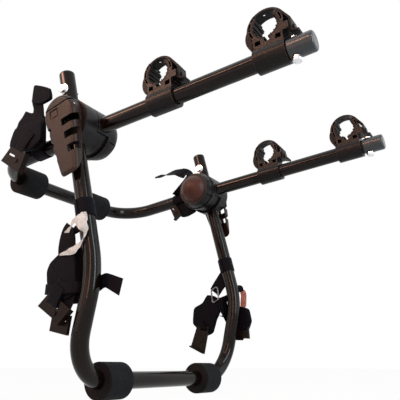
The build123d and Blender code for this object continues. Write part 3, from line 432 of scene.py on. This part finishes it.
for part in frame["record"]["subparts"]:
    node = frame["nodes"][part["node"]]
    node.data.materials.clear()
    node.data.materials.append(MATERIALS[DARKENED.get(part["node"], part["material_slot"])])


# Straps, in millimetres from the legs' leaning directions or level ones

LEAN_X = Vector((cos(LEG_LEAN), 0, sin(LEG_LEAN)))
LEAN_Z = Vector((-sin(LEG_LEAN), 0, cos(LEG_LEAN)))
OUTWARDS = Vector((0, 1, 0))
# The direction in which the sides of the upper frame run from the hubs
UPPER_AHEAD = (cos(radians(186.1)), 0, sin(radians(186.1)))
# Half the distance between the legs, the webbing and its turns round a tube, in millimetres
LEG_SPAN = 206.3
WEBBING = 1.6
WEBBING_WIDTH = 28.0
BAND_RADIUS = TUBE_RADIUS * 1000 + WEBBING / 2 + 0.1


def on_leg(x, y, z):
    """A point in the legs' own leaning directions."""
    return (LEAN_X * x + OUTWARDS * y + LEAN_Z * z) * 0.001


def level(x, y, z):
    """A point in the model's own directions."""
    return Vector((x, y, z)) * 0.001


def smooth_line(points, steps):
    """A smooth line through these points."""
    line = []
    last = len(points) - 1
    for place in range(last):
        before, here = points[max(place - 1, 0)], points[place]
        after, beyond = points[place + 1], points[min(place + 2, last)]
        for step in range(steps):
            t = step / steps
            line.append(0.5 * (2 * here + (after - before) * t
                               + (2 * before - 5 * here + 4 * after - beyond) * t ** 2
                               + (3 * here - before - 3 * after + beyond) * t ** 3))
    return line + [points[last]]


def use_only(piece):
    """Leaves this piece as the one that operators act on."""
    bpy.ops.object.select_all(action="DESELECT")
    piece.select_set(True)
    bpy.context.view_layer.objects.active = piece


def apply_all(piece):
    """Applies the modifiers of a piece."""
    use_only(piece)
    for modifier in list(piece.modifiers):
        bpy.ops.object.modifier_apply(modifier=modifier.name)


def set_uv(piece, corner_uv):
    """Writes a UV map in metres, from the index and place of each corner's vertex."""
    layer = piece.data.uv_layers.active or piece.data.uv_layers.new(name="UVMap")
    for loop in piece.data.loops:
        layer.data[loop.index].uv = corner_uv(loop.vertex_index)


def ribbon(points, across, widths, thickness=WEBBING, steps=8, columns=4, crumple=0.0):
    """Flat webbing along a smooth line. across is its width direction, and widths are in millimetres."""
    line = smooth_line(points, steps)
    last = len(line) - 1
    if not isinstance(across, list):
        across = [across] * len(points)
    sides = smooth_line([side.normalized() for side in across], steps)
    if not isinstance(widths, list):
        widths = [widths] * len(points)
    breadth = smooth_line([Vector((width * 0.001, 0, 0)) for width in widths], steps)
    reach = [0.0]
    for here, after in zip(line, line[1:]):
        reach.append(reach[-1] + (after - here).length)
    bpy.ops.object.select_all(action="DESELECT")
    bpy.ops.mesh.primitive_grid_add(x_subdivisions=last, y_subdivisions=columns, size=1)
    piece = bpy.context.object
    flat = {}
    for vertex in piece.data.vertices:
        row = round((vertex.co.x + 0.5) * last)
        side = sides[row].normalized()
        shift = vertex.co.y * breadth[row].x
        flat[vertex.index] = (reach[row], shift)
        vertex.co = line[row] + side * shift
        if crumple:
            ahead = line[min(row + 1, last)] - line[max(row - 1, 0)]
            folds = noise.noise(vertex.co * 95) + 0.5 * noise.noise(vertex.co * 240)
            vertex.co += ahead.cross(side).normalized() * folds * crumple * 0.001
    set_uv(piece, lambda corner: flat[corner])
    wall = piece.modifiers.new("wall", "SOLIDIFY")
    wall.thickness = thickness * 0.001
    wall.offset = 0
    rim = piece.modifiers.new("rim", "BEVEL")
    rim.width = thickness * 0.00035
    rim.segments = 2
    rim.limit_method = "ANGLE"
    rim.angle_limit = radians(60)
    apply_all(piece)
    bpy.ops.object.shade_smooth_by_angle(angle=radians(45))
    return piece


def rounded(outline, count):
    """An outline with its corners cut round, as evenly spaced points."""
    points = [Vector(corner) for corner in outline]
    for share in (0.1, 0.25):
        cut = []
        for here, after in zip(points, points[1:] + points[:1]):
            cut += [here.lerp(after, share), here.lerp(after, 1 - share)]
        points = cut
    closed = points + points[:1]
    lengths = [(after - here).length for here, after in zip(closed, closed[1:])]
    spacing = sum(lengths) / count
    even, edge, passed = [], 0, 0.0
    for number in range(count):
        target = number * spacing
        while passed + lengths[edge] < target:
            passed += lengths[edge]
            edge += 1
        even.append(closed[edge].lerp(closed[edge + 1], (target - passed) / lengths[edge]))
    return even


def folded(outline, near, far, place, plies, crown, seed):
    """Webbing folded to and fro: plies with rounded edges between two distances, crowned on both sides."""
    count = 56
    ring = rounded(outline, count)
    middle = sum(ring, Vector((0, 0))) / count
    radius = sum((point - middle).length for point in ring) / count
    ply = (far - near) / plies
    profile = [(near - crown * (1 - scale ** 2) * 0.4, scale) for scale in (0.12, 0.35, 0.6, 0.8, 0.93)]
    for number in range(plies):
        uneven = 1 + 0.012 * sin(seed * 5.1 + number * 2.3)
        for t in (0.06, 0.2, 0.5, 0.8, 0.94):
            profile.append((near + (number + t) * ply, uneven - 0.5 * ply * (1 - sin(pi * t)) / radius))
    profile += [(far + crown * (1 - scale ** 2) * 0.6, scale) for scale in (0.93, 0.8, 0.6, 0.35, 0.12)]
    bpy.ops.object.select_all(action="DESELECT")
    bpy.ops.mesh.primitive_circle_add(vertices=count, radius=1, fill_type="NOTHING")
    piece = bpy.context.object
    depth, scale = profile[0]
    for vertex, point in zip(piece.data.vertices, ring):
        spot = middle + (point - middle) * scale
        vertex.co = place(spot.x, depth, spot.y)
    bpy.ops.object.mode_set(mode="EDIT")
    bpy.ops.mesh.select_all(action="SELECT")
    bpy.ops.mesh.edge_face_add()
    bpy.ops.mesh.select_all(action="SELECT")
    for new_depth, new_scale in profile[1:]:
        step = place(middle.x, new_depth, middle.y) - place(middle.x, depth, middle.y)
        bpy.ops.mesh.extrude_region_move(TRANSFORM_OT_translate={"value": step})
        growth = new_scale / scale
        bpy.ops.transform.resize(value=(growth, growth, growth),
                                 center_override=place(middle.x, new_depth, middle.y))
        depth, scale = new_depth, new_scale
    bpy.ops.mesh.select_all(action="SELECT")
    bpy.ops.mesh.normals_make_consistent(inside=False)
    bpy.ops.object.mode_set(mode="OBJECT")
    across, along = place(1, 0, 0) * 1000, place(0, 0, 1) * 1000
    set_uv(piece, lambda corner: (piece.data.vertices[corner].co.dot(along),
                                  piece.data.vertices[corner].co.dot(across)))
    bpy.ops.object.shade_smooth_by_angle(angle=radians(60))
    return piece


def joined(name, pieces, body, slot_name, material, *nodes):
    """One named piece made from several, which rides on a body and stands for these nodes."""
    bpy.ops.object.select_all(action="DESELECT")
    for piece in pieces:
        piece.select_set(True)
    bpy.context.view_layer.objects.active = pieces[0]
    if len(pieces) > 1:
        bpy.ops.object.join()
    whole = bpy.context.object
    whole.name = name
    whole.data.name = name
    bpy.ops.object.transform_apply(location=True, rotation=True, scale=True)
    whole.data.materials.clear()
    whole.data.materials.append(material)
    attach(whole, body)
    if nodes:
        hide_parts(*nodes)
    return whole


def band(centre, ahead, width, turns=1.12):
    """A turn of webbing round a tube, its end lying over its start."""
    start = ahead.cross(OUTWARDS).normalized()
    other = ahead.cross(start).normalized()
    points = []
    count = 22
    for number in range(count + 1):
        turn = 2 * pi * turns * number / count + 0.7
        lift = BAND_RADIUS + WEBBING * max(0.0, number / count * turns - 0.9) / 0.2
        points.append(centre + (start * cos(turn) + other * sin(turn)) * min(lift,
                                                                             BAND_RADIUS + WEBBING) * 0.001)
    return ribbon(points, ahead, width, steps=3)


def leg_strap_left():
    """The folded strap on the left leg, with its flap, its ends and the keeper round it."""
    inner = [(-62, -190), (-40, -186), (-21, -192), (-21, -222), (-26, -262), (-36, -268), (-60, -264),
             (-84, -244), (-88, -222),
             (-82, -200)]
    middle = [(-58, -196), (-40, -191), (-21, -193), (-20, -222), (-25, -262), (-34, -275), (-52, -271),
              (-76, -248), (-83, -236),
              (-81, -214), (-73, -203)]
    outer = [(-54, -201), (-36, -196), (-22, -198), (-21, -222), (-26, -262), (-44, -269), (-69, -250),
             (-78, -236), (-76, -216),
             (-68, -206)]
    pieces = [
        band(on_leg(0, -LEG_SPAN, -146), LEAN_Z, WEBBING_WIDTH),
        folded(inner, -200.3, -193.6, on_leg, 4, 0.6, 1),
        folded(middle, -212.3, -200.7, on_leg, 6, 0.5, 2),
        folded(outer, -219.2, -212.6, on_leg, 3, 1.6, 3),
        ribbon([on_leg(-14, -205, -167), on_leg(-24, -206.5, -169), on_leg(-34, -207, -172)],
               [on_leg(3, 0, 16), on_leg(6, 0, 15), on_leg(8, 0, 14)], [15, 14, 12]),
        ribbon([on_leg(-30, -208, -160), on_leg(-34, -208.4, -167), on_leg(-38, -208.8, -177),
                on_leg(-42, -208.4, -190),
                on_leg(-44, -207, -203)],
               [on_leg(17, 0, -20), on_leg(20, 0, -17), on_leg(26, 0, -11), on_leg(35, 0, -5),
                on_leg(35, 0, -3)],
               [20, 27, 31, 34, 35]),
        ribbon([on_leg(-33, -192.8, -262), on_leg(-8, -192.2, -256), on_leg(6, -193.5, -255),
                on_leg(18, -198, -262),
                on_leg(29, -201, -270), on_leg(38.5, -203, -277)],
               [LEAN_Z, LEAN_Z, on_leg(4, 0, 17), on_leg(6, 1, 19), on_leg(8, 1, 20), on_leg(10, 1, 20)],
               [20, 20, 20, 21, 22, 23]),
        ribbon([on_leg(-44, -219.8, -242), on_leg(-55, -220.6, -254), on_leg(-63, -220.2, -262),
                on_leg(-67.5, -221.2, -267.5),
                on_leg(-66.5, -223.2, -267), on_leg(-60, -223.6, -259), on_leg(-50, -222.4, -248)],
               on_leg(16, 0, -16), 21),
        ribbon([on_leg(-38, -214.5, -252), on_leg(-46, -216, -270), on_leg(-56, -216.6, -283),
                on_leg(-63, -216.8, -291),
                on_leg(-64.5, -215.2, -292)], on_leg(22, 0, -7), [26, 26, 24, 22, 22]),
    ]
    keeper = [on_leg(-85, -206, -238), on_leg(-80, -219.4, -242), on_leg(-52, -221.6, -251),
              on_leg(-27, -220.2, -257),
              on_leg(-18, -206, -258), on_leg(-26, -192.4, -256), on_leg(-55, -191.9, -250),
              on_leg(-82, -193.6, -240),
              on_leg(-85, -206, -238)]
    pieces.append(ribbon(keeper, on_leg(4, 0, 13), 15, thickness=1.2))
    return joined("leg_strap_left_webbing", pieces, "lower_frame", "webbing", MATERIALS["webbing"],
                  "leg_strap_left")


def leg_strap_right():
    """The looser strap on the right leg, its end doubled outside the leg."""
    inner = [(-52, -211), (-38, -218), (-26, -234), (-35, -251), (-47, -262), (-62, -285), (-77, -287),
             (-100, -257), (-90, -227),
             (-67, -224)]
    middle = [(-57, -208), (-43, -215), (-31, -232), (-40, -249), (-52, -261), (-67, -285), (-82, -287),
              (-106, -255),
              (-95, -224), (-72, -221)]
    outer = [(-62, -213), (-48, -219), (-38, -233), (-46, -250), (-58, -262), (-72, -279), (-86, -279),
             (-101, -253), (-93, -230),
             (-76, -226)]
    pieces = [
        band(on_leg(0, LEG_SPAN, -164), LEAN_Z, WEBBING_WIDTH),
        folded(inner, 193.6, 200.3, on_leg, 4, 0.8, 4),
        folded(middle, 200.7, 212.3, on_leg, 6, 0.5, 5),
        folded(outer, 212.6, 219.2, on_leg, 4, 0.8, 6),
        ribbon([on_leg(-6, 207.5, -180), on_leg(-18, 207, -190), on_leg(-30, 206.5, -199),
                on_leg(-41, 206, -208)],
               on_leg(6, 0, -8), [27, 28, 27, 26]),
        ribbon([on_leg(-22, 199, -224), on_leg(-27, 200, -240), on_leg(-26, 203, -258),
                on_leg(-28, 205.5, -275)],
               [on_leg(10, 10, 3), on_leg(10, 12, 2), on_leg(8, 12, 0), on_leg(6, 12, -2)],
               [20, 22, 18, 8]),
        ribbon([on_leg(-80, 195.6, -258), on_leg(-78, 194.2, -268), on_leg(-74.5, 192.4, -275),
                on_leg(-74, 189.8, -275.5),
                on_leg(-78, 188.6, -268), on_leg(-81, 189.6, -256)],
               on_leg(14, 0, -5), 13),
        ribbon([on_leg(-30, 219.6, -226), on_leg(-8, 221.5, -220), on_leg(6, 222.5, -210),
                on_leg(11, 222, -214),
                on_leg(11, 221, -222)],
               [on_leg(0, 2, 10), on_leg(-2, 5, 12), on_leg(-5, 8, 8), on_leg(8, 9, 4), on_leg(12, 8, 2)],
               [14, 15, 13, 12, 12]),
        folded([(-6, -247), (6, -252), (15.5, -260), (14.5, -284), (2, -300), (-14, -294), (-22, -268)],
               220.2, 230.5, on_leg,
               5, 3.4, 7),
        ribbon([on_leg(-40, 220.4, -256), on_leg(-24, 221.6, -268), on_leg(-14, 222.4, -282),
                on_leg(-16, 223.2, -298),
                on_leg(-23, 223.5, -312)],
               on_leg(26, 0, -8), [24, 26, 26, 26, 22]),
    ]
    joined("leg_strap_right_webbing", pieces, "lower_frame", "webbing", MATERIALS["webbing"],
           "leg_strap_right")
    label = ribbon([on_leg(13, 223.6, -219), on_leg(13.5, 224.4, -228), on_leg(10, 224.2, -240),
                    on_leg(6, 223.2, -254)],
                   [on_leg(10, 3, -2), on_leg(11, 2, 0), on_leg(12, 2, 0), on_leg(13, 0, 1)],
                   [11, 12, 13, 14], thickness=0.7)
    joined("strap_label", [label], "lower_frame", "tag_paper", salmon_tape())


def upper_strap_left():
    """The stepped pack on the left of the upper frame, with a stiff loop standing on it."""
    low = [(-129, 66), (-115, 58), (-100, 55), (-82, 46), (-74, -8), (-110, -13), (-144, 0), (-148, 30),
           (-145, 48), (-134, 57)]
    middle = [(-129, 48), (-100, 44), (-72, 36), (-66, -12), (-84, -19), (-112, -16), (-144, -6),
              (-145, 10), (-141, 31),
              (-134, 42)]
    top = [(-134, 28), (-98, 31), (-69, 27), (-67, -8), (-88, -19), (-134, -13), (-143, -4), (-143, 6),
           (-138, 21)]
    loop = [(-111, 111), (-90, 102), (-70, 92), (-65, 78), (-64, 70), (-86, 66), (-112, 74)]
    ahead = level(*UPPER_AHEAD)
    pieces = [
        band(level(*UPPER_AHEAD) * 97 + OUTWARDS * -ARM_SPAN, ahead * 1000, 25),
        folded(low, -200.5, -194.3, level, 3, 0.3, 8),
        folded(middle, -207.0, -200.8, level, 3, 0.3, 9),
        folded(top, -213.5, -207.3, level, 3, 1.4, 10),
        folded(loop, -204.0, -198.0, level, 2, 1.2, 12),
        ribbon([level(-98, -200.6, 84), level(-99, -199.6, 72), level(-97, -198.4, 60),
                level(-96, -198.6, 48)],
               [level(26, 0, 2), level(26, 0, -3), level(26, 0, -8), level(26, 0, -6)], [34, 27, 27, 30]),
        ribbon([level(-92, -214.6, 12), level(-104, -215.4, -2), level(-112, -215.6, -14),
                level(-116, -214.8, -24)],
               level(20, 0, -14), [26, 25, 24, 24]),
    ]
    return joined("upper_strap_left_webbing", pieces, "upper_frame", "webbing", MATERIALS["webbing"],
                  "upper_strap_left")


def upper_strap_right():
    """The right upper strap: a twisted end stands over the frame, and a doubled end hangs below."""
    ahead = level(*UPPER_AHEAD)
    sideways = level(-0.551, 0.757, 0.351)

    def twisted(facing, turn):
        """The width direction, turned away from the one it has face on."""
        return facing * cos(radians(turn)) + sideways * sin(radians(turn))

    pieces = [
        band(level(*UPPER_AHEAD) * 57 + OUTWARDS * ARM_SPAN, ahead * 1000, 25),
        ribbon([level(-64, 170, 4), level(-55, 170, 12), level(-44, 170, 22), level(-33, 170, 32),
                level(-26, 170, 42),
                level(-30, 170.5, 49), level(-42, 171, 52.5), level(-54, 171.5, 56), level(-69, 172, 60),
                level(-88, 173, 59.5),
                level(-110, 176, 60.5), level(-129, 179, 61.5)],
               [level(0, 1, 0), level(0, 1, 0), level(0, 1, 0), level(0, 1, 0), level(0, 1, 0.1),
                level(0.2, 0.8, 0.5),
                twisted(level(0.25, 0, 0.97), 18), twisted(level(0.3, 0, 0.95), 37),
                twisted(level(0.1, 0, 1), 60),
                twisted(level(0, 0, 1), 81), twisted(level(0, 0, 1), 108), twisted(level(0, 0, 1), 104)],
               [25, 25, 25, 25, 25, 25, 25, 25, 25, 24, 18, 9]),
        folded([(-72, -24), (-60, -36), (-52, -46), (-38, -46), (-17, -39), (-14, -28), (-40, -16)], 169.5,
               182.6, level,
               6, 0.4, 11),
    ]
    return joined("upper_strap_right_webbing", pieces, "upper_frame", "webbing", MATERIALS["webbing"],
                  "upper_strap_right")


def tag():
    """A crumpled blank tag, doubled, that hangs over the band of the left leg strap."""
    pieces = [
        ribbon([on_leg(9, -221.8, -158), on_leg(6, -223.4, -163), on_leg(5, -224.2, -170),
                on_leg(6, -223.8, -178),
                on_leg(9, -222.8, -187), on_leg(4, -222.6, -196), on_leg(-5, -222.6, -203),
                on_leg(-16, -222, -206),
                on_leg(-30, -221.6, -205), on_leg(-45, -221.2, -203)],
               [on_leg(20, -3, -8), on_leg(24, 2, -6), on_leg(24, 3, -4), on_leg(22, 0, 2),
                on_leg(18, -2, 4),
                on_leg(12, -2, 10), on_leg(6, 0, 14), on_leg(2, 0, 16), on_leg(1, 0, 14), on_leg(2, 0, 8)],
               [10, 19, 21, 17, 10, 9, 11, 12, 8, 2], thickness=0.35, steps=6, columns=12, crumple=2.4),
        ribbon([on_leg(0, -221.6, -160), on_leg(-6, -224, -166), on_leg(-12, -224.8, -171),
                on_leg(-20, -223, -174),
                on_leg(-30, -221.8, -174)],
               [on_leg(14, 2, -10), on_leg(17, 0, -9), on_leg(14, -2, 4), on_leg(6, 0, 12),
                on_leg(2, 0, 12)],
               [8, 13, 12, 8, 2], thickness=0.35, steps=6, columns=10, crumple=2.0),
    ]
    return joined("blank_tag_paper", pieces, "lower_frame", "tag_paper", MATERIALS["tag_paper"],
                  "blank_tag")


leg_strap_left()
leg_strap_right()
upper_strap_left()
upper_strap_right()
tag()


# Floor, light and camera

def seen_plainly(tree):
    """One where the camera looks straight, in gloss or through glass, and nought elsewhere."""
    path = tree.nodes.new("ShaderNodeLightPath")
    seen = math_node(tree, "ADD", path.outputs["Is Camera Ray"], path.outputs["Is Glossy Ray"])
    return math_node(tree, "ADD", seen, path.outputs["Is Transmission Ray"], clamp=True)


def white_surface(name, shown):
    """A white that the camera, gloss and glass see as it is, by this share, and that takes soft shadow."""
    made = bpy.data.materials.new(name)
    made.use_nodes = True
    tree = made.node_tree
    tree.nodes.remove(tree.nodes["Principled BSDF"])
    matt = add_node(tree, "ShaderNodeBsdfDiffuse", Color=(0.62, 0.62, 0.62, 1))
    glow = add_node(tree, "ShaderNodeEmission", Color=(1, 1, 1, 1), Strength=1.0)
    seen = seen_plainly(tree)
    blend = tree.nodes.new("ShaderNodeMixShader")
    tree.links.new(math_node(tree, "MULTIPLY", seen, shown), blend.inputs[0])
    tree.links.new(matt.outputs[0], blend.inputs[1])
    tree.links.new(glow.outputs[0], blend.inputs[2])
    tree.links.new(blend.outputs[0], tree.nodes["Material Output"].inputs["Surface"])
    return made


bpy.ops.object.select_all(action="DESELECT")
bpy.ops.mesh.primitive_plane_add(size=30, location=(0, 0, cad_box[0][2] - 0.0005))
floor = bpy.context.object
floor.name = "floor"
floor.data.materials.append(white_surface("floor white", 0.97))

world = bpy.data.worlds.new("room")
bpy.context.scene.world = world
world.use_nodes = True
room = world.node_tree
plain = room.nodes["Background"]
plain.inputs["Color"].default_value = (0.92, 0.95, 1.0, 1)
plain.inputs["Strength"].default_value = 0.22
white = add_node(room, "ShaderNodeBackground", Color=(1, 1, 1, 1), Strength=1.0)
seen = seen_plainly(room)
choose = room.nodes.new("ShaderNodeMixShader")
room.links.new(seen, choose.inputs[0])
room.links.new(plain.outputs[0], choose.inputs[1])
room.links.new(white.outputs[0], choose.inputs[2])
room.links.new(choose.outputs[0], room.nodes["World Output"].inputs["Surface"])


def lamp(name, place, target, power, size, colour):
    """A soft rectangular lamp that faces a point."""
    data = bpy.data.lights.new(name, "AREA")
    data.shape = "RECTANGLE"
    data.size, data.size_y = size
    data.energy = power
    data.color = colour
    made = bpy.data.objects.new(name, data)
    bpy.context.collection.objects.link(made)
    made.location = place
    made.rotation_euler = (Vector(target) - Vector(place)).to_track_quat("-Z", "Y").to_euler()
    made.visible_camera = False


lamp("window", (1.95, -0.45, 0.3), (0, 0, -0.05), 38, (0.4, 2.4), (0.8, 0.92, 1.0))
lamp("warm strip", (0.68, -1.88, 0.0), (0, 0, -0.1), 22, (0.18, 2.0), (1.0, 0.46, 0.22))
lamp("room side", (1.65, 0.95, 0.2), (0, 0, -0.05), 9, (1.2, 2.0), (0.8, 0.92, 1.0))
lamp("warm side", (-1.14, -1.52, 0.62), (0, 0, -0.1), 8, (0.5, 1.6), (1.0, 0.58, 0.4))
lamp("warm line", (-0.55, -1.7, 1.15), (0.2, 0, 0.05), 26, (1.8, 0.15), (1.0, 0.5, 0.32))
lamp("warm room", (-0.3, -2.3, -0.5), (0, 0, -0.1), 8, (1.6, 1.2), (1.0, 0.5, 0.36))
lamp("top", (0.0, -0.3, 2.0), (0, 0, 0), 5, (1.6, 1.6), (1.0, 0.99, 0.97))

# The lens and the place were solved from straight edges, with the frame's proportions
camera_data = bpy.data.cameras.new("camera")
camera_data.lens = 46.6
camera_data.sensor_width = 36
camera_data.clip_start = 0.01
camera = bpy.data.objects.new("camera", camera_data)
bpy.context.collection.objects.link(camera)
camera.matrix_world = Matrix((
    (0.85129, 0.16095, 0.49941, 0.5550),
    (0.5247, -0.26114, -0.81024, -0.7307),
    (0.0, 0.95179, -0.30675, -0.3583),
    (0, 0, 0, 1),
))
bpy.context.scene.camera = camera
bpy.context.scene.view_settings.view_transform = "Standard"
